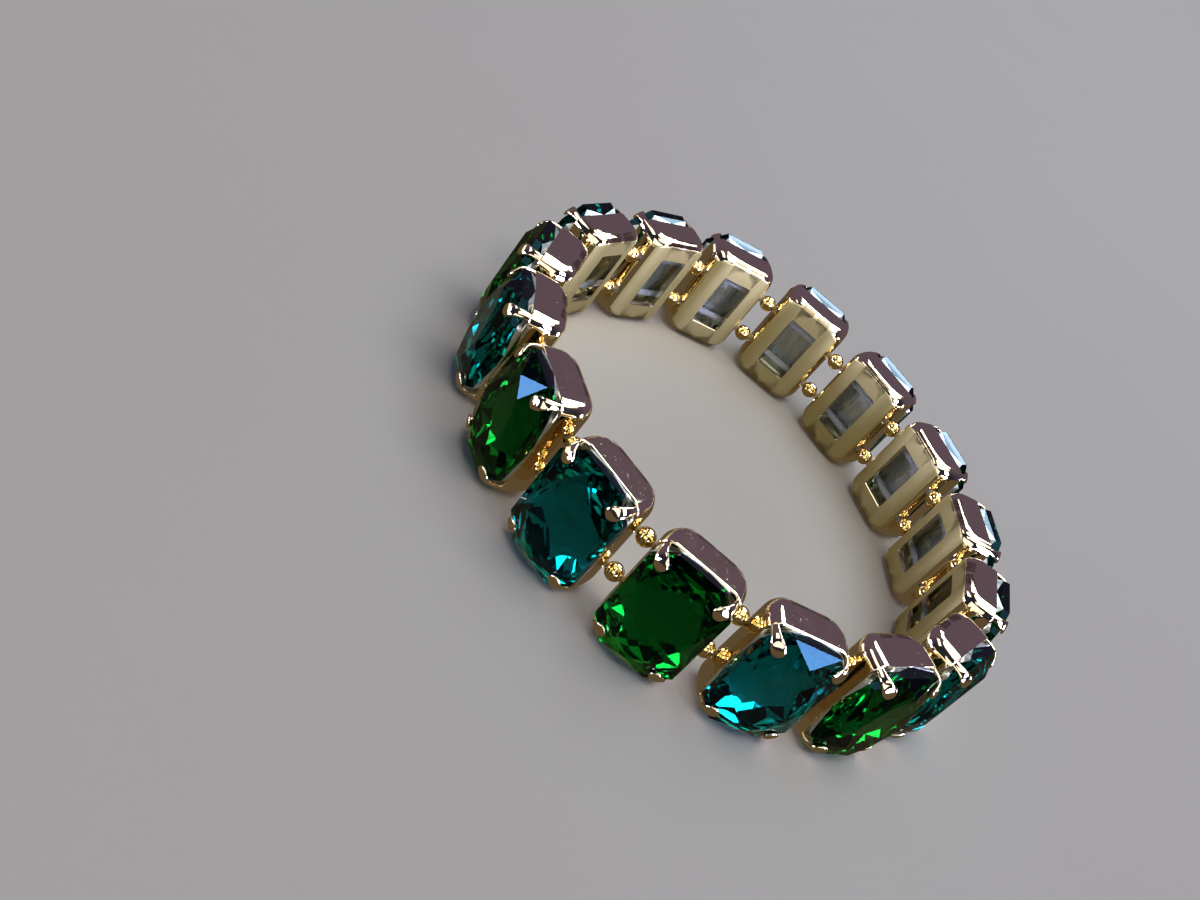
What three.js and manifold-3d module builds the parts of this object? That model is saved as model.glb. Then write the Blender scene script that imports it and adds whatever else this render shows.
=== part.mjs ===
// A crystal stretch bracelet, lying flat: sixteen octagon stones in claw settings, strung side by
// side on two elastic cords, with one round gold bead on each cord in every gap between settings.
// Millimetres, +Z up. The stones stand upright and face outward, and rest on their lower ends.
//
// A setting's own frame has X along the strands, Y outward from the wrist and Z up. Its origin is
// the middle of the back plate, on the side that touches the wrist.

import * as THREE from 'three';
import { ConvexGeometry } from 'three/addons/geometries/ConvexGeometry.js';
import { mergeVertices } from 'three/addons/utils/BufferGeometryUtils.js';
import Module from 'manifold-3d';

// ---------------------------------------------------------------- driving dimensions

const SETTING_COUNT = 16;

// The line that the back plates follow around the wrist: a circle pulled slightly oval and
// slightly egg-shaped, as a loose bracelet lies. Turns are in degrees, from +X.
const loop = { radius: 28.5, oval: 0.94, ovalTurn: -66.6, egg: 0.3, eggTurn: -30, startTurn: -190 };

// How each setting lies a little off its even place: mm ahead along the loop, mm outward, and
// degrees of twist about its upright axis.
const settling = [
  { ahead: 0.4, out: 0.1, twist: 4.5 },
  { ahead: 0.1, out: 0, twist: -1.5 },
  { ahead: 0.2, out: -0.2, twist: -4.5 },
  { ahead: -0.2, out: -0.1, twist: 0 },
  { ahead: 0, out: 0, twist: -2 },
  { ahead: -0.2, out: -0.1, twist: 0.5 },
  { ahead: -0.4, out: 0, twist: 0.5 },
  { ahead: -0.4, out: 0, twist: -3.5 },
  { ahead: 0, out: 0.1, twist: 0 },
  { ahead: -0.2, out: 0.2, twist: -2.5 },
  { ahead: -0.2, out: 0, twist: 0 },
  { ahead: 0.1, out: -0.1, twist: -0.5 },
  { ahead: 0.4, out: 0.2, twist: -1 },
  { ahead: 0.2, out: 0.3, twist: 3.5 },
  { ahead: 0, out: -0.5, twist: 4 },
  { ahead: 0.3, out: 0.2, twist: -3 },
];

// The pressed cup: open at the front, with an octagonal front edge and a rounded back.
const cup = {
  width: 9.9, height: 13.5, depth: 4.4, wall: 0.5, plate: 0.6,
  cornerCut: 1.2, sideFillet: 2.35, endFillet: 0.8,
};
const backWindow = { width: 4.1, height: 7.8 };
const OUTER_FILLET_STEPS = 4;
const INNER_FILLET_STEPS = 2;

// The stone, a 14 x 10 mm octagon. Levels are distances along Y.
const stone = {
  width: 10, height: 14, cornerCut: 2.2,
  undersideLevel: 4.75, stepLevel: 5.95, tableLevel: 7.4,
  pavilionInset: 1.05, pavilionLevel: 4.45, keelLevel: 2.35, keelHalfLength: 3,
};
// The table's corners: the middle of each end, of each cut corner and of each side.
const table = { endZ: 5.4, cornerX: 1.9, cornerZ: 3.8, sideX: 3.5 };

// The claws, one at each cut corner. "reach" is the distance out from the corner's cut face.
const claw = { width: 1.2, startLevel: 0.9 };
const clawOutline = [
  { reach: -0.25, level: claw.startLevel },
  { reach: 0.28, level: 1.4 },
  { reach: 0.28, level: 5.4 },
  { reach: -0.3, level: 6.95 },
  { reach: -0.95, level: 7.2 },
  { reach: -1.0, level: 6.85 },
  { reach: -0.5, level: 6.6 },
  { reach: -0.1, level: 5.9 },
  { reach: -0.25, level: 4.2 },
];

// The two elastic cords and their beads.
const cord = { spacing: 5.7, level: 1.47, diameter: 0.8, sides: 6 };
const cordHole = { diameter: 1.5, sides: 6 };
const bead = { diameter: 2, widthSegments: 8, heightSegments: 5 };

// The lower ends of the stones stand on Z = 0.
const middleHeight = stone.height / 2;

// ---------------------------------------------------------------- materials

const settingGold = new THREE.MeshStandardMaterial({ color: 0xb99a58, roughness: 0.28, metalness: 1 });
const beadGold = new THREE.MeshStandardMaterial({ color: 0xd9ab3c, roughness: 0.15, metalness: 1 });
const emeraldGlass = new THREE.MeshStandardMaterial({ color: 0x064a25, roughness: 0.05, metalness: 0 });
const tealGlass = new THREE.MeshStandardMaterial({ color: 0x04453f, roughness: 0.05, metalness: 0 });

// ---------------------------------------------------------------- solids

const wasm = await Module();
wasm.setup();

function toSolid(geometry) {
  const bare = geometry.clone();
  bare.deleteAttribute('normal');
  bare.deleteAttribute('uv');
  const merged = mergeVertices(bare, 1e-4);
  return new wasm.Manifold(new wasm.Mesh({
    numProp: 3,
    vertProperties: new Float32Array(merged.attributes.position.array),
    triVerts: new Uint32Array(merged.index.array),
  }));
}

function toGeometry(solid) {
  const mesh = solid.getMesh();
  const geometry = new THREE.BufferGeometry();
  geometry.setAttribute('position', new THREE.BufferAttribute(mesh.vertProperties, 3));
  geometry.setIndex(new THREE.BufferAttribute(mesh.triVerts, 1));
  geometry.computeVertexNormals();
  return geometry;
}

function extruded(shape, length) {
  return new THREE.ExtrudeGeometry(shape, { depth: length, bevelEnabled: false, steps: 1 });
}

function radians(degrees) {
  return THREE.MathUtils.degToRad(degrees);
}

// An octagon: a rectangle, width along X and height along Y, with its corners cut at 45 degrees.
function octagonPoints(width, height, cut) {
  const x = width / 2;
  const y = height / 2;
  return [
    [x, y - cut], [x - cut, y], [cut - x, y], [-x, y - cut],
    [-x, cut - y], [cut - x, -y], [x - cut, -y], [x, cut - y],
  ].map(([px, py]) => new THREE.Vector2(px, py));
}

// ---------------------------------------------------------------- settings

// The cup's section across the strands' plane: flat front, straight sides, rounded back corners.
function sideSection(inset, back, front, steps) {
  const x = cup.width / 2 - inset;
  const fillet = cup.sideFillet - inset;
  const points = [new THREE.Vector2(x, front)];
  for (let step = 0; step <= steps; step += 1) {
    const turn = (step / steps) * (Math.PI / 2);
    points.push(new THREE.Vector2(
      x - fillet + fillet * Math.cos(turn),
      back + fillet - fillet * Math.sin(turn),
    ));
  }
  const mirrored = points.map((point) => new THREE.Vector2(-point.x, point.y)).reverse();
  return new THREE.Shape(points.concat(mirrored));
}

// The cup's section along its height: flat ends, with small fillets where they meet the back.
function endSection() {
  const z = cup.height / 2;
  const fillet = cup.endFillet;
  const corner = fillet * (1 - Math.SQRT1_2);
  const points = [
    [z, cup.depth], [z, fillet], [z - corner, corner], [z - fillet, 0],
    [fillet - z, 0], [corner - z, corner], [-z, fillet], [-z, cup.depth],
  ];
  return new THREE.Shape(points.map(([px, py]) => new THREE.Vector2(px, py)));
}

// The cup's form seen from above and from the front, drawn in by "inset" and reaching from the
// level "back" to the level "front".
function roundBackedBlock(inset, back, front, steps) {
  const across = extruded(sideSection(inset, back, front, steps), cup.height);
  across.translate(0, 0, -cup.height / 2);

  const width = cup.width - 2 * inset;
  const height = cup.height - 2 * inset;
  const face = extruded(new THREE.Shape(octagonPoints(width, height, cup.cornerCut)), front - back);
  face.rotateX(Math.PI / 2);
  face.translate(0, front, 0);

  return toSolid(across).intersect(toSolid(face));
}

function cupSolid() {
  const filletedEnds = extruded(endSection(), cup.width);
  filletedEnds.translate(0, 0, -cup.width / 2);
  filletedEnds.rotateY(-Math.PI / 2);
  const windowBlock = new THREE.BoxGeometry(backWindow.width, 4 * cup.plate, backWindow.height);
  const openFront = cup.depth + 1;
  return roundBackedBlock(0, 0, cup.depth, OUTER_FILLET_STEPS)
    .intersect(toSolid(filletedEnds))
    .subtract(roundBackedBlock(cup.wall, cup.plate, openFront, INNER_FILLET_STEPS))
    .subtract(toSolid(windowBlock))
    .subtract(cordHoleSolid(cord.spacing / 2))
    .subtract(cordHoleSolid(-cord.spacing / 2));
}

function clawSolid(sideX, endZ) {
  const outline = clawOutline.map((point) => new THREE.Vector2(point.reach, point.level));
  const strip = extruded(new THREE.Shape(outline), claw.width);
  strip.translate(0, 0, -claw.width / 2);
  strip.rotateY(-Math.atan2(endZ, sideX));
  strip.translate(
    sideX * (cup.width / 2 - cup.cornerCut / 2), 0, endZ * (cup.height / 2 - cup.cornerCut / 2),
  );
  return toSolid(strip);
}

function cordHoleSolid(height) {
  const radius = cordHole.diameter / 2;
  const drill = new THREE.CylinderGeometry(radius, radius, cup.width + 2, cordHole.sides);
  drill.rotateY(Math.PI / cordHole.sides);
  drill.rotateZ(Math.PI / 2);
  drill.translate(0, cord.level, height);
  return toSolid(drill);
}

function settingGeometry() {
  let solid = cupSolid();
  for (const sideX of [-1, 1]) {
    for (const endZ of [-1, 1]) {
      solid = solid.add(clawSolid(sideX, endZ));
    }
  }
  return toGeometry(solid);
}

// ---------------------------------------------------------------- stones

function octagonAt(level, inset) {
  return octagonPoints(stone.width - 2 * inset, stone.height - 2 * inset, stone.cornerCut)
    .map((point) => new THREE.Vector3(point.x, level, point.y));
}

function tablePoints() {
  const corners = [-1, 1].flatMap((sideX) => [-1, 1].map(
    (endZ) => new THREE.Vector3(sideX * table.cornerX, stone.tableLevel, endZ * table.cornerZ),
  ));
  const middles = [-1, 1].flatMap((sign) => [
    new THREE.Vector3(sign * table.sideX, stone.tableLevel, 0),
    new THREE.Vector3(0, stone.tableLevel, sign * table.endZ),
  ]);
  return corners.concat(middles);
}

// The crown has a thick straight girdle, and triangles from it up to an octagonal table. The
// pavilion is a hip roof whose ridge, the keel, runs upright behind the table.
function stoneGeometry() {
  const crown = new ConvexGeometry([
    ...octagonAt(stone.undersideLevel, 0),
    ...octagonAt(stone.stepLevel, 0),
    ...tablePoints(),
  ]);
  const pavilion = new ConvexGeometry([
    ...octagonAt(stone.stepLevel, stone.pavilionInset),
    ...octagonAt(stone.pavilionLevel, stone.pavilionInset),
    new THREE.Vector3(0, stone.keelLevel, -stone.keelHalfLength),
    new THREE.Vector3(0, stone.keelLevel, stone.keelHalfLength),
  ]);
  return toGeometry(toSolid(crown).add(toSolid(pavilion)));
}

// ---------------------------------------------------------------- the loop

class LoopCurve extends THREE.Curve {
  getPoint(t, target = new THREE.Vector3()) {
    const turn = radians(loop.startTurn) + 2 * Math.PI * t;
    const radius = loop.radius
      + loop.oval * Math.cos(2 * (turn - radians(loop.ovalTurn)))
      + loop.egg * Math.cos(3 * (turn - radians(loop.eggTurn)));
    return target.set(radius * Math.cos(turn), radius * Math.sin(turn), 0);
  }
}

// Where each setting stands: even steps along the loop, then the settling of each one.
function settingPlaces() {
  const curve = new LoopCurve();
  curve.arcLengthDivisions = 2000;
  return settling.map((row, index) => {
    const along = curve.getTangentAt(index / SETTING_COUNT);
    const outward = new THREE.Vector3(along.y, -along.x, 0);
    const origin = curve.getPointAt(index / SETTING_COUNT)
      .addScaledVector(along, row.ahead)
      .addScaledVector(outward, row.out)
      .setZ(middleHeight);
    const facing = Math.atan2(outward.y, outward.x) - Math.PI / 2 + radians(row.twist);
    return { origin, facing };
  });
}

// A point given in a setting's own frame, at the cords' level, in the bracelet's frame.
function cordPoint(place, x, height) {
  return new THREE.Vector3(x, cord.level, height)
    .applyAxisAngle(new THREE.Vector3(0, 0, 1), place.facing)
    .add(place.origin);
}

// ---------------------------------------------------------------- strands

// Where one cord enters and leaves each setting, in order. X runs clockwise in a setting's frame.
function cordStops(places, height) {
  const reach = cup.width / 2 - 0.2;
  return places.map((place) => ({
    enter: cordPoint(place, reach, height),
    leave: cordPoint(place, -reach, height),
  }));
}

// A ring-shaped tube through the given points: a torus whose sections are moved to the points.
function closedTube(points) {
  const radius = cord.diameter / 2;
  const geometry = new THREE.TorusGeometry(1, 0.1, cord.sides, points.length);
  const position = geometry.attributes.position;
  const uv = geometry.attributes.uv;
  for (let index = 0; index < position.count; index += 1) {
    const section = Math.round(uv.getX(index) * points.length) % points.length;
    const side = 2 * Math.PI * (Math.round(uv.getY(index) * cord.sides) % cord.sides) / cord.sides;
    const point = points[section];
    const before = points[(section + points.length - 1) % points.length];
    const after = points[(section + 1) % points.length];
    const along = after.clone().sub(before).normalize();
    const outward = new THREE.Vector3(along.y, -along.x, 0);
    position.setXYZ(
      index,
      point.x + radius * Math.cos(side) * outward.x,
      point.y + radius * Math.cos(side) * outward.y,
      point.z + radius * Math.sin(side),
    );
  }
  return geometry;
}

function strandGeometry(places, height) {
  const stops = cordStops(places, height);
  const points = [];
  const beads = [];
  stops.forEach((stop, index) => {
    const next = stops[(index + 1) % stops.length];
    const middle = stop.leave.clone().add(next.enter).multiplyScalar(0.5);
    points.push(stop.enter, stop.leave);
    beads.push(middle);
  });
  let solid = toSolid(closedTube(points));
  for (const centre of beads) {
    const ball = new THREE.SphereGeometry(bead.diameter / 2, bead.widthSegments, bead.heightSegments);
    ball.translate(centre.x, centre.y, centre.z);
    solid = solid.add(toSolid(ball));
  }
  return toGeometry(solid);
}

// ---------------------------------------------------------------- assembly

function named(name, geometry, material) {
  const mesh = new THREE.Mesh(geometry, material);
  mesh.name = name;
  return mesh;
}

const bracelet = new THREE.Group();
const places = settingPlaces();
const sharedSetting = settingGeometry();
const sharedStone = stoneGeometry();

places.forEach((place, index) => {
  const number = String(index + 1).padStart(2, '0');
  const glass = index % 2 === 0 ? emeraldGlass : tealGlass;
  const link = new THREE.Group();
  link.add(named(`setting_${number}`, sharedSetting, settingGold));
  link.add(named(`stone_${number}`, sharedStone, glass));
  link.position.copy(place.origin);
  link.rotation.z = place.facing;
  bracelet.add(link);
});

bracelet.add(named('strand_upper', strandGeometry(places, cord.spacing / 2), beadGold));
bracelet.add(named('strand_lower', strandGeometry(places, -cord.spacing / 2), beadGold));

// The origin is the middle of the bracelet's bounding box, on the surface that it lies on.
const bounds = new THREE.Box3().setFromObject(bracelet, true);
const centre = bounds.getCenter(new THREE.Vector3());
bracelet.position.set(-centre.x, -centre.y, -bounds.min.z);

const group = new THREE.Group();
group.add(bracelet);

export default group;
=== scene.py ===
"""A crystal stretch bracelet, lying flat: sixteen octagon stones in gold claw settings, strung side
by side on two clear elastic cords, with one round gold bead on each cord in every gap.

Every link is drawn in its own frame, in millimetres: X along the cords, Y outward from the wrist and
Z up, with the origin in the middle of the back plate. Each link's frame is found from its stone.
"""

import math

import bpy
import bmesh
from mathutils import Matrix, Vector


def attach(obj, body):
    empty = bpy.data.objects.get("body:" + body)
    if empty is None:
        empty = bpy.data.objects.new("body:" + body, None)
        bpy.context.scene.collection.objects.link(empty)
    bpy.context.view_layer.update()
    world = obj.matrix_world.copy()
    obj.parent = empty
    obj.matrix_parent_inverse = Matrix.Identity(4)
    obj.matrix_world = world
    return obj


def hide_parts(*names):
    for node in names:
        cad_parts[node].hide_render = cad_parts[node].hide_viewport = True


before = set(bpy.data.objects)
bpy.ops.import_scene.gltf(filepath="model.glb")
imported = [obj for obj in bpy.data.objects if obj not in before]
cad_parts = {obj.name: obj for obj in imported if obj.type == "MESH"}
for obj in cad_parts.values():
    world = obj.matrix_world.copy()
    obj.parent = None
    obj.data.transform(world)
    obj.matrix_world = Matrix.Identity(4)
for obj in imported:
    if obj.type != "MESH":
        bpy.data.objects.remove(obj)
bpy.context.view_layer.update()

MM = 0.001
LINKS = 16
CREASE = 50                # degrees: edges that are sharper than this stay crisp

# ---------------------------------------------------------------- the setting, in millimetres

# The pressed cup that holds a stone. A level is a distance outward from the cup's back.
CUP_HALF_WIDTH = 4.95
CUP_HALF_HEIGHT = 6.75
CUP_DEPTH = 4.4
CUP_WALL = 0.5
CUP_PLATE = 0.6
SIDE_FILLET = {"reach": 2.75, "depth": 2.9}    # the round from the back plate into a side wall
FILLET_POWER = 2.6         # over 2, so that the round grows slowly out of the flat plate
FILLET_STEPS = 24
SEARCH_STEPS = 30          # halvings, when a point is sought at some depth inside the fillet
EDGE_ROUND = {"up": 0.75, "in": 1.1}           # the round between an end wall and the rest
BACK_CORNER, RIM_CORNER = 2.7, 1.45            # corner radii seen from behind, at the back and the rim
RADIUS_LEVELS = (0.0, 2.2)                     # where one radius goes over into the other
UPRIGHT_LEVELS = (1.2, 3.2)                    # where the rounded back goes over into upright walls
CORNER_STEPS = 8
FLAT_EDGE = 0.1            # the first bit of flat wall beside a round corner
CUP_LEVELS = (0.004, 0.02, 0.05, 0.095, 0.155, 0.23, 0.32, 0.43, 0.56, 0.71, 0.9, 1.12, 1.4, 1.75,
              2.15, 2.6, 3.1, 3.6)
RIM_ROUND = 0.15
RIM_BAND = 0.07            # a narrow band of wall just under the round of the rim
RIM_STEPS = 6
INSIDE_ROWS = ((3.0, 0.0), (2.0, 0.05), (1.3, 0.25), (0.85, 0.6), (CUP_PLATE, 1.1))    # level, inset
INSIDE_OUTLINE = 1.6       # the inside keeps the outline that the cup has at this level
WINDOW_HALF_WIDTH = 2.05
WINDOW_HALF_HEIGHT = 3.9
WINDOW_CORNER = 0.22
WINDOW_EDGE = 0.06
CORD_HOLE = {"diameter": 1.3, "sides": 24, "bar_length": 12}
CUP_CREASE = 38            # degrees: on the finished cup, edges that are sharper than this stay crisp

# The satin finish covers the back plate and runs on over the side fillets.
SATIN_FACING = 0.72        # out to about this slope
SATIN_END_SLOPE = 0.42     # and stops short of the end fillets
SATIN_RINGS = 18           # it lies only between these first rings of the cup

# A claw: how far its middle line stands out from the cup's corner, its level, and its half width.
CLAW_PATH = [
    {"reach": -0.36, "level": 3.5, "half": 0.38},
    {"reach": -0.34, "level": 4.2, "half": 0.4},
    {"reach": -0.34, "level": 4.7, "half": 0.43},
    {"reach": -0.37, "level": 5.2, "half": 0.48},
    {"reach": -0.46, "level": 5.7, "half": 0.57},
    {"reach": -0.67, "level": 6.1, "half": 0.7},
    {"reach": -1.0, "level": 6.38, "half": 0.8},
    {"reach": -1.38, "level": 6.57, "half": 0.82},
    {"reach": -1.74, "level": 6.7, "half": 0.7},
]
# Its round tip goes on past the last row, as shares of that row's width and thickness.
CLAW_TIP = [
    {"width": 0.76, "thickness": 0.85, "forward": 0.2},
    {"width": 0.4, "thickness": 0.55, "forward": 0.34},
]
CLAW_CORNER = 0.42         # how far the cup's corner stands in from the corner of its width and height
CLAW_DOME = 0.24           # the round outer face stands this far above the claw's middle line
CLAW_BELLY = 0.12
CLAW_SIDES = 14
CLAW_FULLNESS = {"across": 0.8, "up": 0.55}    # powers under 1 swell its section toward a rectangle
CLAW_LYING = 0.3           # where a claw's face leans outward less than this, the claw lies on the stone

# ---------------------------------------------------------------- the stone, in millimetres

# An octagon with a crown of triangles up to its table, a thick girdle and a pavilion behind.
STONE_HALF_WIDTH = 5.0
STONE_HALF_HEIGHT = 7.0
STONE_CUT = 2.2
MIDDLE_HEIGHT = STONE_HALF_HEIGHT              # the stones stand on their lower ends
TABLE_LEVEL = 7.4
TABLE_END = 5.4
TABLE_CORNER = (1.9, 3.8)
TABLE_SIDE = 3.5
GIRDLE_FRONT = 5.95
GIRDLE_MIDDLE = 5.85
GIRDLE_STEP = 5.1          # behind this the girdle slopes in more steeply
GIRDLE_BACK = 4.5
STEP_END_INSET = 0.14
BACK_INSET = 0.38
# The corners of a quarter of the pavilion, as x, level and z, from its shoulder back to its keel.
PAVILION = [
    (2.24, 4.04, 6.15), (4.21, 4.04, 4.1), (1.97, 3.28, 6.15), (4.24, 3.33, 3.8),
    (0, 3.04, 4.92), (2.07, 3.04, 4.25), (3.16, 2.47, 0), (1.51, 2.65, 3.27),
]
SAME_POINT = 0.001
SAME_PLANE = 0.6           # degrees
FACET_RISE = 0.036         # each pavilion facet rises to its middle by this share of its breadth
END_FACING = 0.9           # a face that looks this straight up or down is an end of the girdle
COAT_GAP = 0.02            # between the mirror foil and the coat of lacquer behind it
LACQUER = 0.05

# ---------------------------------------------------------------- the strands, in millimetres

CORD_HEIGHT = 2.85         # above and below the middle
CORD_LEVEL = 1.47
CORD_WIDTH = 0.9
CORD_THICK = 0.62
CORD_INSIDE = 0.2          # the cord's line has a point this far inside every side wall
CORD_SIDES = 12
CORD_STEPS = 6             # points of the cord's line inside each link, and again in each gap
UV_STEPS = 8               # the cord's map counts one for this many points
UV_LINK = 2 * CORD_STEPS / UV_STEPS
BEAD = {"diameter": 2.1, "segments": 32, "rings": 18}

# ---------------------------------------------------------------- colours, as linear light

POLISHED_TONES = (0.86, 0.73, 0.48), (0.9, 0.78, 0.54)
SATIN_TONES = (0.56, 0.49, 0.21), (0.66, 0.58, 0.27)
BEAD_TONES = (0.93, 0.7, 0.26), (0.97, 0.78, 0.36)
FOIL_TONES = (0.84, 0.86, 0.87), (0.94, 0.95, 0.96)
LACQUER_TONES = (0.52, 0.6, 0.58), (0.72, 0.8, 0.78)
EMERALD_TONES = (0.0002, 0.048, 0.0028), (0.0006, 0.082, 0.006)
TEAL_TONES = (0.0002, 0.075, 0.06), (0.0006, 0.11, 0.09)
SHEEN, END_SHEEN = (0.08, 0.3, 0.46), (0.5, 0.72, 0.95)    # tints of what the glass and its ends mirror
ELASTIC_TONES = (0.74, 0.82, 0.94), (0.94, 0.97, 1.0)
# painted reflection: the cord's colour in each gap, standing in for the gold of the bead and walls around
# it
PAINTED_BEAD_REFLECTION = (0.8, 0.6, 0.24)
FLOOR_TONES = (0.64, 0.62, 0.59), (0.68, 0.66, 0.63)

# ---------------------------------------------------------------- the studio

FLOOR_HALF = 2.0           # metres
# The room that the bracelet mirrors. Its near wall goes over into its far wall between two shares of
# the way across; a bearing and a height, in degrees, give the middle of its bright ceiling.
NEAR_WALL, FAR_WALL = (0.02, 0.022, 0.04), (0.119, 0.086, 0.15)
WALL_CHANGE = (-0.25, 0.35)
CEILING = {"middle": (85, 77), "bright_to": 25, "dark_from": 28, "colour": (2.2, 2.2, 2.15)}
TABLE_BROWN = (0.115, 0.085, 0.052)
HORIZON = 0.01             # the room goes over into the brown table this far each side of level
COOL, WHITE, SKY_BLUE = (0.62, 0.62, 1.0), (1.0, 0.98, 0.95), (0.74, 0.88, 1.0)
LAMP_DISTANCE = 3.0        # metres
# Bearing, height above the floor, and how wide and tall each looks, in degrees; colour; brightness.
LAMPS = {
    "window_right": (45, 9, 27, 17, COOL, 36),
    "window_right_high": (53, 36, 19, 16, COOL, 36),
    "window_far_right": (92.5, 5, 9, 12, COOL, 36),
    "window_left": (-73.5, 0, 9, 16, COOL, 36),
    "window_left_low": (-60, 6.5, 9, 11, COOL, 36),
    "window_far_left": (-88, 6, 10, 13, COOL, 36),
    "skylight": (157.5, 50, 29, 21, SKY_BLUE, 13),
    "front_panel": (-10, 26, 46, 28, WHITE, 1.6),
    "left_panel": (-110, 2, 34, 14, WHITE, 1.4),
    "left_high_panel": (-85, 50, 30, 16, WHITE, 2.2),
    "front_high_panel": (20, 60, 50, 13, WHITE, 2.2),
}
# Where the camera stands round the point it looks at, in degrees and millimetres. It sees what lies
# between the two clip distances, in metres.
CAMERA = {"bearing": -12.1, "height": 33.6, "roll": 39.88, "distance": 150.53, "aim": (-14.66, -5.90, 0),
          "lens": 39.26, "sensor": 36, "clip": (0.005, 10)}

# ---------------------------------------------------------------- where the links stand


def flat_groups(mesh):
    """The mesh's flat faces, as rows of normal, area and middle, one for each direction."""
    groups = {}
    for face in mesh.polygons:
        key = tuple(round(part, 2) for part in face.normal)
        row = groups.setdefault(key, [Vector(), 0.0, Vector()])
        row[0] += face.normal * face.area
        row[1] += face.area
        row[2] += face.center * face.area
    return [(row[0].normalized(), row[1], row[2] / row[1]) for row in groups.values()]


def link_place(number):
    """The matrix from a link's own frame, in millimetres, to the bracelet's, in metres."""
    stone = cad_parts[f"stone_{number:02d}"]
    outward, _, table_middle = max(flat_groups(stone.data), key=lambda row: row[1])
    origin = table_middle - outward * TABLE_LEVEL * MM
    origin.z = MIDDLE_HEIGHT * MM
    turn = Matrix((
        (outward.y, outward.x, 0),
        (-outward.x, outward.y, 0),
        (0, 0, 1),
    )).to_4x4()
    return Matrix.Translation(origin) @ turn @ Matrix.Scale(MM, 4)


places = [link_place(number) for number in range(1, LINKS + 1)]

# ---------------------------------------------------------------- helpers


def object_of(name, mesh):
    """An object for a mesh, in the scene, at the origin."""
    obj = bpy.data.objects.new(name, mesh)
    bpy.context.scene.collection.objects.link(obj)
    return obj


def mesh_object(name, verts, faces, materials, face_material=None):
    """An object from points and faces. face_material counts in materials, a number for each face."""
    mesh = bpy.data.meshes.new(name)
    mesh.from_pydata([tuple(v) for v in verts], [], faces)
    for material in materials:
        mesh.materials.append(material)
    if face_material:
        mesh.polygons.foreach_set("material_index", face_material)
    mesh.update()
    return object_of(name, mesh)


def work_object(name, work):
    """An object from an edited mesh, which is used up."""
    mesh = bpy.data.meshes.new(name)
    work.to_mesh(mesh)
    work.free()
    return object_of(name, mesh)


def placed_copy(pattern, name, place):
    """A copy of a pattern mesh, moved to a link's place."""
    mesh = pattern.data.copy()
    mesh.name = name
    mesh.transform(place)
    mesh.update()
    return object_of(name, mesh)


def discard(obj):
    bpy.data.objects.remove(obj, do_unlink=True)


def band_faces(rings, around, closed=False, base=0):
    """Quads between closed rings of points; closed joins the last ring to the first as well."""
    faces = []
    for ring in range(rings if closed else rings - 1):
        here, there = base + ring * around, base + (ring + 1) % rings * around
        for step in range(around):
            after = (step + 1) % around
            faces.append((here + step, here + after, there + after, there + step))
    return faces


def smoothed(mesh, crease):
    """Shades a mesh smooth, except across edges sharper than the crease, in degrees."""
    mesh.polygons.foreach_set("use_smooth", [True] * len(mesh.polygons))
    mesh.set_sharp_from_angle(angle=math.radians(crease))


def outward_faces(obj):
    """Turns every closed shell of a mesh outward, and smooths it."""
    work = bmesh.new()
    work.from_mesh(obj.data)
    bmesh.ops.recalc_face_normals(work, faces=work.faces)
    work.to_mesh(obj.data)
    work.free()
    smoothed(obj.data, CREASE)
    obj.data.update()


def evaluated_mesh(obj):
    """The mesh that an object's modifiers make."""
    graph = bpy.context.evaluated_depsgraph_get()
    return bpy.data.meshes.new_from_object(obj.evaluated_get(graph))


def finished(obj, kind, **settings):
    """Adds a modifier and makes its result the object's own mesh."""
    modifier = obj.modifiers.new("work", kind)
    for name, value in settings.items():
        setattr(modifier, name, value)
    mesh = evaluated_mesh(obj)
    obj.modifiers.clear()
    obj.data = mesh
    return obj


def mix(a, b, share):
    return a + (b - a) * share


def smooth_share(low, high, value):
    """0 up to low and 1 from high on, with a smooth change between them."""
    share = min(1.0, max(0.0, (value - low) / (high - low)))
    return share * share * (3 - 2 * share)


def direction(azimuth, elevation):
    """A unit vector; azimuth 0 is toward -Y and 90 toward +X, as seen from above."""
    a, e = math.radians(azimuth), math.radians(elevation)
    return Vector((math.sin(a) * math.cos(e), -math.cos(a) * math.cos(e), math.sin(e)))


# ---------------------------------------------------------------- materials


class NodeWork:
    """Builds up a node tree, a node at a time."""

    def __init__(self, tree):
        self.nodes, self.links = tree.nodes, tree.links

    def node(self, kind, **settings):
        """A new node. A setting is the node's own, or else the value of its input of that name."""
        made = self.nodes.new(kind)
        for name, value in settings.items():
            if hasattr(made, name):
                setattr(made, name, value)
            else:
                made.inputs[name.replace("_", " ")].default_value = value
        return made

    def link(self, source, target):
        self.links.new(source, target)

    def spread(self, value, low, high, to_low=0, to_high=1, **settings):
        """The value between low and high, moved to between to_low and to_high."""
        ramp = self.node("ShaderNodeMapRange", **settings)
        for name, limit in (("From Min", low), ("From Max", high), ("To Min", to_low), ("To Max", to_high)):
            ramp.inputs[name].default_value = limit
        self.link(value, ramp.inputs["Value"])
        return ramp.outputs["Result"]

    def blend(self, share, first, second):
        """A colour between two, each of them plain or another node's output."""
        mixer = self.node("ShaderNodeMix", data_type="RGBA")
        self.link(share, mixer.inputs["Factor"])
        for name, colour in (("A", first), ("B", second)):
            if isinstance(colour, tuple):
                mixer.inputs[name].default_value = (*colour, 1)
            else:
                self.link(colour, mixer.inputs[name])
        return mixer.outputs["Result"]

    def part(self, vector, axis):
        split = self.node("ShaderNodeSeparateXYZ")
        self.link(vector, split.inputs["Vector"])
        return split.outputs[axis]


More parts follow.
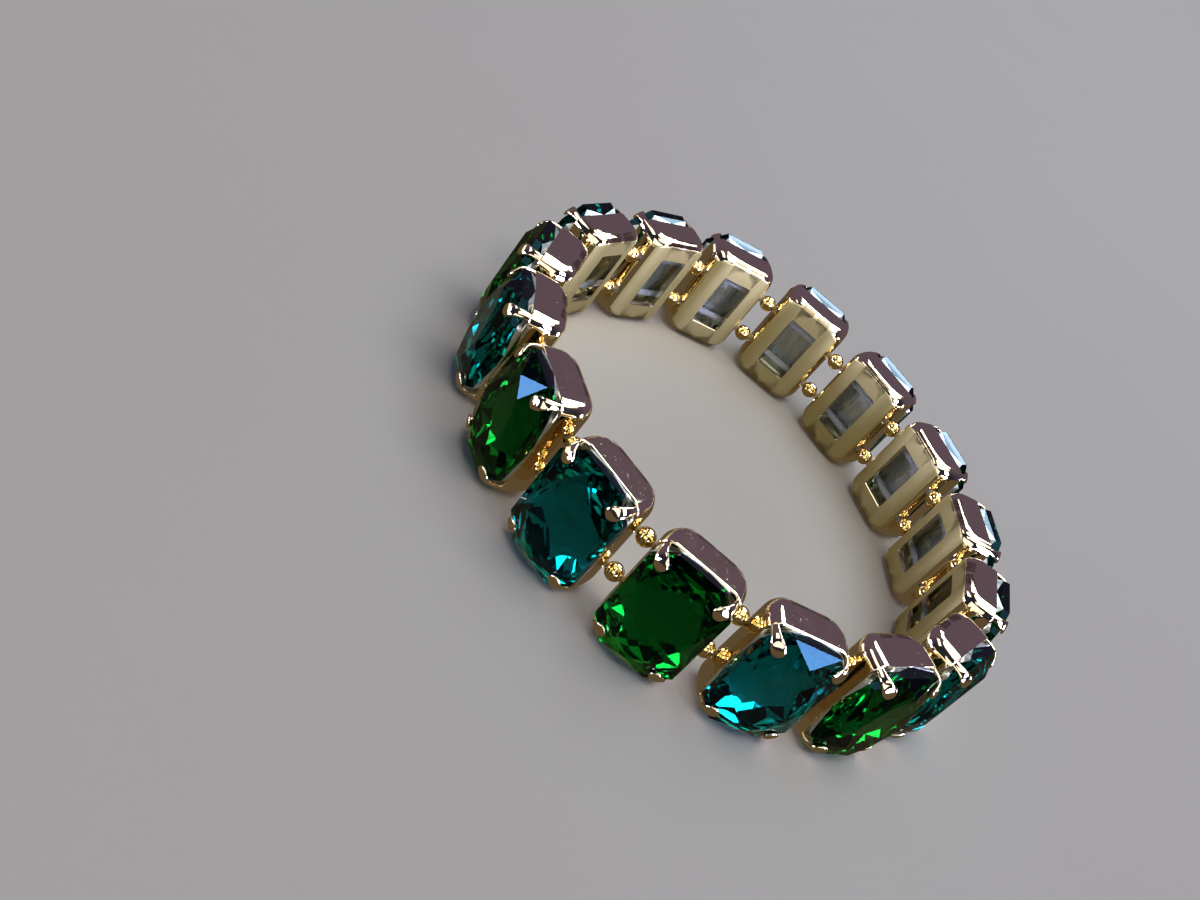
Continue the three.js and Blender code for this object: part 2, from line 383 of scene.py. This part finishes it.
class Finish(NodeWork):
    """A material with one Principled shader, patterned on the object's own coordinates."""

    def __init__(self, name):
        self.material = bpy.data.materials.new(name)
        self.material.use_nodes = True
        super().__init__(self.material.node_tree)
        self.shader = self.nodes["Principled BSDF"]

    def set(self, **values):
        for name, value in values.items():
            self.shader.inputs[name.replace("_", " ")].default_value = value

    def drive(self, name, output):
        self.link(output, self.shader.inputs[name])

    def noise(self, scale, detail=3.0, stretch=(1, 1, 1)):
        """Noise on the object's own coordinates; scale counts blotches in a metre."""
        mapping = self.node("ShaderNodeMapping", Scale=stretch)
        self.link(self.node("ShaderNodeTexCoord").outputs["Object"], mapping.inputs["Vector"])
        noise = self.node("ShaderNodeTexNoise", Scale=scale, Detail=detail, Roughness=0.55)
        self.link(mapping.outputs["Vector"], noise.inputs["Vector"])
        return noise.outputs["Fac"]

    def bump(self, height, distance, strength):
        bump = self.node("ShaderNodeBump", Strength=strength, Distance=distance)
        self.link(height, bump.inputs["Height"])
        self.drive("Normal", bump.outputs["Normal"])


def polished_gold():
    """Bright pale gold plate, with a few fine scratches and specks."""
    made = Finish("polished_gold")
    made.set(Metallic=1.0)
    made.drive("Base Color", made.blend(made.noise(260, 2), *POLISHED_TONES))
    scratches = made.noise(900, 4, stretch=(1, 1, 0.12))
    made.drive("Roughness", made.spread(scratches, 0.35, 0.75, 0.03, 0.07))
    specks = made.noise(5200, 2)
    made.bump(made.spread(specks, 0.7, 0.78), 0.00001, 0.2)
    return made.material


def satin_gold():
    """The brushed, matte gold of the back plates."""
    made = Finish("satin_gold")
    made.set(Metallic=0.78)
    made.drive("Base Color", made.blend(made.noise(420), *SATIN_TONES))
    grain = made.noise(7000)
    made.drive("Roughness", made.spread(grain, 0.3, 0.7, 0.5, 0.6))
    made.bump(grain, 0.00001, 0.5)
    return made.material


def bead_gold():
    """The deeper, mirror-bright gold of the beads."""
    made = Finish("bead_gold")
    made.set(Metallic=1.0)
    made.drive("Base Color", made.blend(made.noise(500, 2), *BEAD_TONES))
    made.drive("Roughness", made.spread(made.noise(1500), 0.3, 0.7, 0.05, 0.12))
    return made.material


def stone_glass(name, tones, sheen):
    """Tinted cut glass; the tint wanders a little over the stone. sheen tints what it mirrors."""
    made = Finish(name)
    made.set(Roughness=0.0, IOR=1.5, Specular_Tint=(*sheen, 1), Transmission_Weight=1.0)
    made.drive("Base Color", made.blend(made.noise(150, 2), *tones))
    return made.material


def mirror_foil():
    """The silver mirror behind the stone, a little uneven and brushed."""
    made = Finish("mirror_foil")
    made.set(Metallic=1.0)
    streaks = made.noise(1400, stretch=(1, 1, 0.2))
    made.drive("Base Color", made.blend(streaks, *FOIL_TONES))
    made.drive("Roughness", made.spread(streaks, 0.3, 0.7, 0.015, 0.05))
    return made.material


def foil_lacquer():
    """The grey, faintly brushed lacquer over the back of the foil."""
    made = Finish("foil_lacquer")
    made.set(Metallic=0.65)
    streaks = made.noise(1100, stretch=(1, 1, 0.15))
    made.drive("Base Color", made.blend(streaks, *LACQUER_TONES))
    made.drive("Roughness", made.spread(streaks, 0.3, 0.7, 0.22, 0.36))
    made.bump(streaks, 0.00002, 0.4)
    return made.material


def clear_elastic():
    """Clear bluish elastic, with fine fibres along the cord. In the gaps beside the beads its colour is
    painted gold, a painted reflection of the bead and the walls around it.
    """
    made = Finish("clear_elastic")
    made.set(IOR=1.45, Transmission_Weight=0.5)
    place = made.node("ShaderNodeUVMap", uv_map="around_and_along").outputs["UV"]
    wave = made.node("ShaderNodeTexWave", bands_direction="X", Scale=7.0, Distortion=1.2)
    made.link(place, wave.inputs["Vector"])
    fibres = wave.outputs["Fac"]
    turns = made.node("ShaderNodeMath", operation="MULTIPLY")
    turns.inputs[1].default_value = 2 * math.pi / UV_LINK
    made.link(made.part(place, "Y"), turns.inputs[0])
    # A sine over each link's length of cord: above 0 inside its cup, and below 0 in the gap, where the
    # painted gold reflection goes.
    swing = made.node("ShaderNodeMath", operation="SINE")
    made.link(turns.outputs["Value"], swing.inputs[0])
    in_cup = made.spread(swing.outputs["Value"], -0.1, 0.25)
    made.drive("Base Color", made.blend(in_cup, PAINTED_BEAD_REFLECTION, made.blend(fibres, *ELASTIC_TONES)))
    made.drive("Roughness", made.spread(fibres, 0, 1, 0.2, 0.35))
    made.bump(fibres, 0.00004, 0.6)
    return made.material


def floor_paper():
    """Pale, matte paper."""
    made = Finish("pale_floor")
    made.drive("Base Color", made.blend(made.noise(14), *FLOOR_TONES))
    made.set(Roughness=0.75)
    made.bump(made.noise(900), 0.00005, 0.25)
    return made.material


POLISHED = polished_gold()
SATIN = satin_gold()
BEAD_GOLD = bead_gold()
FOIL = mirror_foil()
COAT = foil_lacquer()
EMERALD = stone_glass("emerald_glass", EMERALD_TONES, SHEEN)
EMERALD_END = stone_glass("emerald_glass_ends", EMERALD_TONES, END_SHEEN)
TEAL = stone_glass("teal_glass", TEAL_TONES, SHEEN)
TEAL_END = stone_glass("teal_glass_ends", TEAL_TONES, END_SHEEN)
ELASTIC = clear_elastic()

# ---------------------------------------------------------------- settings


def drawn_in(level):
    """How far a side wall stands in from the cup's full width at a level."""
    share = max(0.0, 1 - level / SIDE_FILLET["depth"])
    return SIDE_FILLET["reach"] * (1 - (1 - share ** FILLET_POWER) ** (1 / FILLET_POWER))


# The cup's outline as seen from above: from the middle of its back round to a side wall past the rim.
BACK_CURVE = [(0.0, 0.0)] + [
    (CUP_HALF_WIDTH - drawn_in(level), level)
    for level in (SIDE_FILLET["depth"] * (step / FILLET_STEPS) ** 2 for step in range(FILLET_STEPS + 1))
] + [(CUP_HALF_WIDTH, CUP_DEPTH + 2)]


def depth_inside(x, level):
    """The distance from a point inside the cup's outline to that outline."""
    best = math.inf
    for (ax, ay), (bx, by) in zip(BACK_CURVE, BACK_CURVE[1:]):
        along = ((x - ax) * (bx - ax) + (level - ay) * (by - ay)) / ((bx - ax) ** 2 + (by - ay) ** 2)
        along = min(1.0, max(0.0, along))
        best = min(best, math.hypot(x - mix(ax, bx, along), level - mix(ay, by, along)))
    return best


def x_at_depth(level, depth):
    """Where, at a level, a point lies this deep inside the outline."""
    low, high = 0.0, CUP_HALF_WIDTH - drawn_in(level)
    for _ in range(SEARCH_STEPS):
        middle = (low + high) / 2
        if depth_inside(middle, level) > depth:
            low = middle
        else:
            high = middle
    return (low + high) / 2


def corner_radius(level):
    return mix(BACK_CORNER, RIM_CORNER, smooth_share(*RADIUS_LEVELS, level))


def top_at(x, level, depth):
    """How high the cup reaches at a point, given how deep the point lies inside the outline."""
    share = max(0.0, 1 - depth / EDGE_ROUND["in"])
    edge = EDGE_ROUND["up"] * (1 - math.sqrt(1 - share ** 2))
    radius = corner_radius(level)
    beyond = min(1.0, max(0.0, (x - CUP_HALF_WIDTH + radius) / radius))
    return CUP_HALF_HEIGHT - edge - radius * (1 - math.sqrt(1 - beyond ** 2))


def cup_corner(level):
    """A corner of the cup at a level, from its side wall to its end wall."""
    deepest = min(level, EDGE_ROUND["in"])
    upright = smooth_share(*UPRIGHT_LEVELS, level)
    points = []
    for step in range(CORNER_STEPS + 1):
        turn = step / CORNER_STEPS * math.pi / 2
        depth = deepest * (1 - math.cos(turn))
        x = x_at_depth(level, depth)
        z = mix(top_at(x, level, depth), CUP_HALF_HEIGHT - RIM_CORNER * (1 - math.sin(turn)), upright)
        points.append((mix(x, CUP_HALF_WIDTH - RIM_CORNER * (1 - math.cos(turn)), upright), z))
    start, stop = x_at_depth(level, deepest), CUP_HALF_WIDTH - BACK_CORNER
    for step in range(1, CORNER_STEPS + 1):
        share = step / CORNER_STEPS
        x = mix(start, stop, share)
        z = mix(top_at(x, level, deepest), CUP_HALF_HEIGHT, upright)
        points.append((mix(x, mix(CUP_HALF_WIDTH - RIM_CORNER, stop, share), upright), z))
    side, end = points[0], points[-1]
    return [(side[0], side[1] - FLAT_EDGE)] + points + [(end[0] - FLAT_EDGE, end[1])]


def window_corner(grow):
    """A corner of the window in the back plate, with as many points as a corner of the cup."""
    steps = 2 * CORNER_STEPS + 2
    points = []
    for step in range(steps + 1):
        turn = math.pi / 2 * step / steps
        points.append((
            WINDOW_HALF_WIDTH + grow - WINDOW_CORNER * (1 - math.cos(turn)),
            WINDOW_HALF_HEIGHT + grow - WINDOW_CORNER * (1 - math.sin(turn)),
        ))
    return points


def whole_ring(level, corner, inset=0.0):
    """A closed ring at a level, from one corner mirrored to all four."""
    points = []
    for sign_x, sign_z, order in ((1, 1, 1), (-1, 1, -1), (-1, -1, 1), (1, -1, -1)):
        for x, z in corner[::order]:
            points.append((sign_x * (x - inset), level, sign_z * (z - inset)))
    return points


def cup_rings():
    """The cup's closed profile, from the window's edge out over the back, round the rim and inside."""
    rings = [whole_ring(WINDOW_EDGE, window_corner(0.0)), whole_ring(0.0, window_corner(WINDOW_EDGE))]
    rim_start = CUP_DEPTH - RIM_ROUND
    for level in (*CUP_LEVELS, rim_start - RIM_BAND, rim_start):
        rings.append(whole_ring(level, cup_corner(level)))
    rim = cup_corner(CUP_DEPTH)
    middle = CUP_WALL / 2
    for step in range(1, RIM_STEPS + 1):
        turn = math.pi * step / RIM_STEPS
        level = rim_start + RIM_ROUND * math.sin(turn)
        rings.append(whole_ring(level, rim, middle - middle * math.cos(turn)))
    for level, inset in INSIDE_ROWS:
        rings.append(whole_ring(level, cup_corner(max(level, INSIDE_OUTLINE)), CUP_WALL + inset))
    rings.append(whole_ring(CUP_PLATE, window_corner(0.0)))
    return rings


def cup_pattern():
    """One cup, with two materials: satin on its back plate, polished everywhere else."""
    rings = cup_rings()
    around = len(rings[0])
    verts = [point for ring in rings for point in ring]
    faces = band_faces(len(rings), around, closed=True)
    satin = []
    for index, face in enumerate(faces):
        a, b, c = (Vector(verts[corner]) for corner in face[:3])
        facing = (b - a).cross(c - a).normalized()
        plate = abs(facing.y) > SATIN_FACING and abs(facing.z) < SATIN_END_SLOPE
        satin.append(1 if plate and index < SATIN_RINGS * around else 0)
    return mesh_object("cup_pattern", verts, faces, [POLISHED, SATIN], satin)


def claw_rows(sign_x, sign_z):
    """One claw's middle line, from the cut corner to the stone: rows of point, way along it, outer
    face and half width. The second result is the way across the claw."""
    out = Vector((sign_x, 0, sign_z)).normalized()
    across = Vector((-out.z, 0, out.x))
    foot = Vector((sign_x * (CUP_HALF_WIDTH - CLAW_CORNER), 0, sign_z * (CUP_HALF_HEIGHT - CLAW_CORNER)))
    line = [foot + out * row["reach"] + Vector((0, row["level"], 0)) for row in CLAW_PATH]
    rows = []
    for index, row in enumerate(CLAW_PATH):
        before, after = line[max(0, index - 1)], line[min(len(line) - 1, index + 1)]
        along = (after - before).normalized()
        face = across.cross(along).normalized()
        lean = face.dot(out)
        if lean < -CLAW_LYING or (abs(lean) <= CLAW_LYING and face.y < 0):
            face = -face
        rows.append((line[index], along, face, row["half"]))
    return rows, across


def claw_section(half, share=1.0):
    """A claw's section, as rows of sideways and upward: a low dome outside, flatter underneath."""
    points = []
    for step in range(CLAW_SIDES):
        turn = 2 * math.pi * step / CLAW_SIDES
        across, up = math.cos(turn), math.sin(turn)
        rise = CLAW_DOME if up > 0 else CLAW_BELLY
        across = math.copysign(abs(across) ** CLAW_FULLNESS["across"], across)
        up = math.copysign(abs(up) ** CLAW_FULLNESS["up"], up)
        points.append((half * across, share * rise * up))
    return points


def claws_pattern():
    """The four claws of one setting, as one mesh."""
    verts, faces = [], []
    for sign_x, sign_z in ((-1, -1), (-1, 1), (1, -1), (1, 1)):
        rows, across = claw_rows(sign_x, sign_z)
        sections = [
            [point + across * s + face * u for s, u in claw_section(half)] for point, _, face, half in rows
        ]
        point, along, face, half = rows[-1]
        for tip in CLAW_TIP:
            sections.append([
                point + along * tip["forward"] + across * s + face * u
                for s, u in claw_section(half * tip["width"], tip["thickness"])
            ])
        base = len(verts)
        for section in sections:
            verts.extend(section)
        faces.extend(band_faces(len(sections), CLAW_SIDES, base=base))
        faces.append(tuple(base + step for step in reversed(range(CLAW_SIDES))))
        faces.append(tuple(len(verts) - CLAW_SIDES + step for step in range(CLAW_SIDES)))
    obj = mesh_object("claws_pattern", verts, faces, [POLISHED])
    outward_faces(obj)
    return obj


def cord_drills():
    """Round bars where the two cords pass through a cup's side walls."""
    work = bmesh.new()
    radius = CORD_HOLE["diameter"] / 2
    for height in (-CORD_HEIGHT, CORD_HEIGHT):
        place = Matrix.Translation((0, CORD_LEVEL, height)) @ Matrix.Rotation(math.pi / 2, 4, "Y")
        bmesh.ops.create_cone(work, cap_ends=True, segments=CORD_HOLE["sides"], radius1=radius,
                              radius2=radius, depth=CORD_HOLE["bar_length"], matrix=place)
    return work_object("drills", work)


def setting_pattern():
    """One setting: a drilled cup and its claws."""
    cup = cup_pattern()
    outward_faces(cup)
    drills = cord_drills()
    finished(cup, "BOOLEAN", object=drills, operation="DIFFERENCE", solver="EXACT")
    discard(drills)
    smoothed(cup.data, CUP_CREASE)
    claws = claws_pattern()
    finished(claws, "SUBSURF", levels=1, render_levels=1)
    work = bmesh.new()
    work.from_mesh(cup.data)
    work.from_mesh(claws.data)
    work.to_mesh(cup.data)
    work.free()
    discard(claws)
    return finished(cup, "WEIGHTED_NORMAL", keep_sharp=True)


# ---------------------------------------------------------------- stones


def octagon(level, side_inset=0.0, end_inset=0.0):
    """The stone's outline at a level, drawn in by so much at its sides and its ends."""
    half_x, half_z, cut = STONE_HALF_WIDTH - side_inset, STONE_HALF_HEIGHT - end_inset, STONE_CUT
    corners = [
        (half_x, half_z - cut), (half_x - cut, half_z), (cut - half_x, half_z), (-half_x, half_z - cut),
        (-half_x, cut - half_z), (cut - half_x, -half_z), (half_x - cut, -half_z), (half_x, cut - half_z),
    ]
    return [(x, level, z) for x, z in corners]


def stone_table():
    """Eight points at the front, one facing the middle of each side of the octagon."""
    corner_x, corner_z = TABLE_CORNER
    points = [
        (corner_x, corner_z), (0, TABLE_END), (-corner_x, corner_z), (-TABLE_SIDE, 0),
        (-corner_x, -corner_z), (0, -TABLE_END), (corner_x, -corner_z), (TABLE_SIDE, 0),
    ]
    return [(x, TABLE_LEVEL, z) for x, z in points]


def stone_points():
    """The corners of the cut stone, from its table back to its keel."""
    return (
        stone_table() + octagon(GIRDLE_FRONT) + octagon(GIRDLE_MIDDLE)
        + octagon(GIRDLE_STEP, 0.0, STEP_END_INSET) + octagon(GIRDLE_BACK, BACK_INSET, BACK_INSET)
        + [(side * x, level, end * z) for x, level, z in PAVILION for side in (1, -1) for end in (1, -1)]
    )


def foil_coat(work, foil_faces):
    """A thin closed coat of lacquer that follows the back of the foil."""
    slopes = {vert: Vector() for face in foil_faces for vert in face.verts}
    for face in foil_faces:
        for vert in face.verts:
            slopes[vert] += face.normal
    inner, outer = (
        {vert: work.verts.new(vert.co + slope.normalized() * lift) for vert, slope in slopes.items()}
        for lift in (COAT_GAP, COAT_GAP + LACQUER)
    )
    coat = []
    for face in foil_faces:
        coat.append(work.faces.new([outer[vert] for vert in face.verts]))
        coat.append(work.faces.new([inner[vert] for vert in reversed(face.verts)]))
        for loop in face.loops:
            if loop.link_loop_radial_next.face not in foil_faces:
                first, second = loop.vert, loop.link_loop_next.vert
                coat.append(work.faces.new([outer[second], outer[first], inner[first], inner[second]]))
    return coat


def behind_girdle(faces):
    return [face for face in faces if face.calc_center_median().y < GIRDLE_BACK]


def stone_pattern(name, glass, end_glass):
    """A cut stone: glass in front, mirror foil on the pavilion and a coat of lacquer behind."""
    materials = [glass, FOIL, COAT, end_glass]
    work = bmesh.new()
    for point in stone_points():
        work.verts.new(point)
    bmesh.ops.remove_doubles(work, verts=work.verts, dist=SAME_POINT)
    bmesh.ops.convex_hull(work, input=work.verts)
    loose = [vert for vert in work.verts if not vert.link_faces]
    bmesh.ops.delete(work, geom=loose, context="VERTS")
    bmesh.ops.dissolve_limit(work, angle_limit=math.radians(SAME_PLANE), verts=work.verts, edges=work.edges)
    bmesh.ops.recalc_face_normals(work, faces=work.faces)
    bmesh.ops.poke(work, faces=behind_girdle(work.faces), offset=FACET_RISE, use_relative_offset=True)
    foil_faces = behind_girdle(work.faces)
    for face in work.faces:
        if face in foil_faces:
            face.material_index = materials.index(FOIL)
        elif abs(face.normal.z) > END_FACING and GIRDLE_STEP < face.calc_center_median().y < GIRDLE_MIDDLE:
            face.material_index = materials.index(end_glass)
    for face in foil_coat(work, foil_faces):
        face.material_index = materials.index(COAT)
    obj = work_object(name, work)
    for material in materials:
        obj.data.materials.append(material)
    return obj


# ---------------------------------------------------------------- strands


def cord_points(height):
    """The points of one cord, in order round the bracelet, and the middle of every gap."""
    reach = CUP_HALF_WIDTH - CORD_INSIDE
    points, gaps = [], []
    for index, place in enumerate(places):
        after = places[(index + 1) % LINKS]
        enter = place @ Vector((reach, CORD_LEVEL, height))
        leave = place @ Vector((-reach, CORD_LEVEL, height))
        following = after @ Vector((reach, CORD_LEVEL, height))
        points.extend((enter, leave))
        gaps.append((leave + following) / 2)
    return points, gaps


def smooth_loop(points, steps):
    """A Catmull-Rom line round through the points."""
    line = []
    count = len(points)
    for index in range(count):
        a, b, c, d = (points[(index + shift) % count] for shift in (-1, 0, 1, 2))
        for step in range(steps):
            t = step / steps
            line.append(0.5 * (2 * b + (c - a) * t + (2 * a - 5 * b + 4 * c - d) * t ** 2
                               + (3 * b - a - 3 * c + d) * t ** 3))
    return line


def elastic_cord(name, points):
    """A flattened round cord through the points, with a map that runs round it and along it."""
    line = smooth_loop(points, CORD_STEPS)
    verts = []
    for index, point in enumerate(line):
        along = (line[(index + 1) % len(line)] - line[index - 1]).normalized()
        outward = Vector((along.y, -along.x, 0)).normalized()
        for step in range(CORD_SIDES):
            turn = 2 * math.pi * step / CORD_SIDES
            verts.append(point + outward * (CORD_THICK / 2 * MM * math.cos(turn))
                         + Vector((0, 0, CORD_WIDTH / 2 * MM * math.sin(turn))))
    obj = mesh_object(name, verts, band_faces(len(line), CORD_SIDES, closed=True), [ELASTIC])
    uv = obj.data.uv_layers.new(name="around_and_along")
    for face_index, face in enumerate(obj.data.polygons):
        index, step = divmod(face_index, CORD_SIDES)
        corners = ((step, index), (step + 1, index), (step + 1, index + 1), (step, index + 1))
        for loop, (u, v) in zip(face.loop_indices, corners):
            uv.data[loop].uv = (u / CORD_SIDES, v / UV_STEPS)
    outward_faces(obj)
    return obj


def beads_tree():
    """Geometry Nodes: a round bead on every point. Returns the tree and its inputs' identifiers."""
    tree = bpy.data.node_groups.new("beads_on_a_cord", "GeometryNodeTree")
    tree.interface.new_socket("Gaps", in_out="INPUT", socket_type="NodeSocketGeometry")
    diameter = tree.interface.new_socket("Bead diameter", in_out="INPUT", socket_type="NodeSocketFloat")
    finish = tree.interface.new_socket("Finish", in_out="INPUT", socket_type="NodeSocketMaterial")
    tree.interface.new_socket("Beads", in_out="OUTPUT", socket_type="NodeSocketGeometry")
    work = NodeWork(tree)
    entry, leave = work.node("NodeGroupInput"), work.node("NodeGroupOutput")
    radius = work.node("ShaderNodeMath", operation="MULTIPLY")
    radius.inputs[1].default_value = 0.5
    ball = work.node("GeometryNodeMeshUVSphere", Segments=BEAD["segments"], Rings=BEAD["rings"])
    smooth = work.node("GeometryNodeSetShadeSmooth")
    spread = work.node("GeometryNodeInstanceOnPoints")
    realize = work.node("GeometryNodeRealizeInstances")
    paint = work.node("GeometryNodeSetMaterial")
    work.link(entry.outputs["Bead diameter"], radius.inputs[0])
    work.link(radius.outputs[0], ball.inputs["Radius"])
    work.link(ball.outputs["Mesh"], smooth.inputs["Geometry"])
    work.link(entry.outputs["Gaps"], spread.inputs["Points"])
    work.link(smooth.outputs["Geometry"], spread.inputs["Instance"])
    work.link(spread.outputs["Instances"], realize.inputs["Geometry"])
    work.link(realize.outputs["Geometry"], paint.inputs["Geometry"])
    work.link(entry.outputs["Finish"], paint.inputs["Material"])
    work.link(paint.outputs["Geometry"], leave.inputs["Beads"])
    return tree, {"diameter": diameter.identifier, "finish": finish.identifier}


def bead_row(name, gaps, tree, sockets):
    """The beads of one cord, one in the middle of every gap."""
    points = bpy.data.meshes.new(name + "_points")
    points.from_pydata([tuple(point) for point in gaps], [], [])
    holder = object_of(name + "_points", points)
    modifier = holder.modifiers.new("beads", "NODES")
    modifier.node_group = tree
    modifier[sockets["diameter"]] = BEAD["diameter"] * MM
    modifier[sockets["finish"]] = BEAD_GOLD
    beads = evaluated_mesh(holder)
    discard(holder)
    beads.name = name
    return object_of(name, beads)


# ---------------------------------------------------------------- the bracelet


def build_links():
    setting = setting_pattern()
    emerald = stone_pattern("emerald_pattern", EMERALD, EMERALD_END)
    teal = stone_pattern("teal_pattern", TEAL, TEAL_END)
    for number, place in enumerate(places, 1):
        cup = placed_copy(setting, f"gold_setting_{number:02d}", place)
        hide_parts(f"setting_{number:02d}")
        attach(cup, "root")
        odd = number % 2 == 1
        stone = placed_copy(emerald if odd else teal, f"cut_stone_{number:02d}", place)
        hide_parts(f"stone_{number:02d}")
        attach(stone, "root")
    for pattern in (setting, emerald, teal):
        discard(pattern)


def build_strands():
    tree, sockets = beads_tree()
    for label, height in (("upper", CORD_HEIGHT), ("lower", -CORD_HEIGHT)):
        points, gaps = cord_points(height)
        cord = elastic_cord(f"{label}_elastic", points)
        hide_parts(f"strand_{label}")
        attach(cord, "root")
        beads = bead_row(f"{label}_beads", gaps, tree, sockets)
        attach(beads, "root")


build_links()
build_strands()

# ---------------------------------------------------------------- floor, light and camera


def pale_floor():
    """A plain floor, which what is shiny doesn't mirror."""
    half = FLOOR_HALF
    corners = [(-half, -half, 0), (half, -half, 0), (half, half, 0), (-half, half, 0)]
    floor = mesh_object("floor", corners, [(0, 1, 2, 3)], [floor_paper()])
    floor.visible_glossy = False


def soft_box(name, azimuth, elevation, wide, tall, colour, radiance):
    """A rectangular light that faces the bracelet, so many degrees wide and tall as seen from it.
    radiance is its brightness as seen. It shows in mirrors and glass, and doesn't light the rest."""
    width, height = (2 * LAMP_DISTANCE * math.tan(math.radians(angle / 2)) for angle in (wide, tall))
    light = bpy.data.lights.new(name, "AREA")
    light.shape = "RECTANGLE"
    light.size, light.size_y = width, height
    light.color = colour
    light.energy = radiance * math.pi * width * height
    lamp = object_of(name, light)
    lamp.visible_diffuse = False
    back = direction(azimuth, elevation)
    lamp.location = back * LAMP_DISTANCE
    lamp.rotation_mode = "QUATERNION"
    lamp.rotation_quaternion = back.to_track_quat("Z", "Y")


def room():
    """A dim mauve room with a bright ceiling and a brown table, which shows in mirrors where the pale
    floor lies."""
    world = bpy.data.worlds.new("studio")
    bpy.context.scene.world = world
    world.use_nodes = True
    work = NodeWork(world.node_tree)
    way = work.node("ShaderNodeTexCoord").outputs["Generated"]
    walls = work.blend(work.spread(work.part(way, "Y"), *WALL_CHANGE), NEAR_WALL, FAR_WALL)
    toward = work.node("ShaderNodeVectorMath", operation="DOT_PRODUCT")
    toward.inputs[1].default_value = direction(*CEILING["middle"])
    work.link(way, toward.inputs[0])
    dark, bright = (math.cos(math.radians(CEILING[edge])) for edge in ("dark_from", "bright_to"))
    overhead = work.spread(toward.outputs["Value"], dark, bright, interpolation_type="SMOOTHSTEP")
    upper = work.blend(overhead, walls, CEILING["colour"])
    below = work.spread(work.part(way, "Z"), HORIZON, -HORIZON)
    work.link(work.blend(below, upper, TABLE_BROWN), work.nodes["Background"].inputs["Color"])


def camera():
    """Looks down over the near side, with the horizon rolled."""
    data = bpy.data.cameras.new("camera")
    data.lens, data.sensor_width = CAMERA["lens"], CAMERA["sensor"]
    data.clip_start, data.clip_end = CAMERA["clip"]
    seat = object_of("camera", data)
    back = direction(CAMERA["bearing"], CAMERA["height"])
    level_right = Vector((0, 0, 1)).cross(back).normalized()
    level_up = back.cross(level_right)
    roll = math.radians(CAMERA["roll"])
    right = level_right * math.cos(roll) + level_up * math.sin(roll)
    up = level_up * math.cos(roll) - level_right * math.sin(roll)
    seat.matrix_world = Matrix((
        (right.x, up.x, back.x, 0), (right.y, up.y, back.y, 0), (right.z, up.z, back.z, 0), (0, 0, 0, 1),
    ))
    seat.location = Vector(CAMERA["aim"]) * MM + back * CAMERA["distance"] * MM
    bpy.context.scene.camera = seat


pale_floor()
room()
for lamp_name, lamp_row in LAMPS.items():
    soft_box(lamp_name, *lamp_row)
camera()
bpy.context.scene.view_settings.view_transform = "Standard"
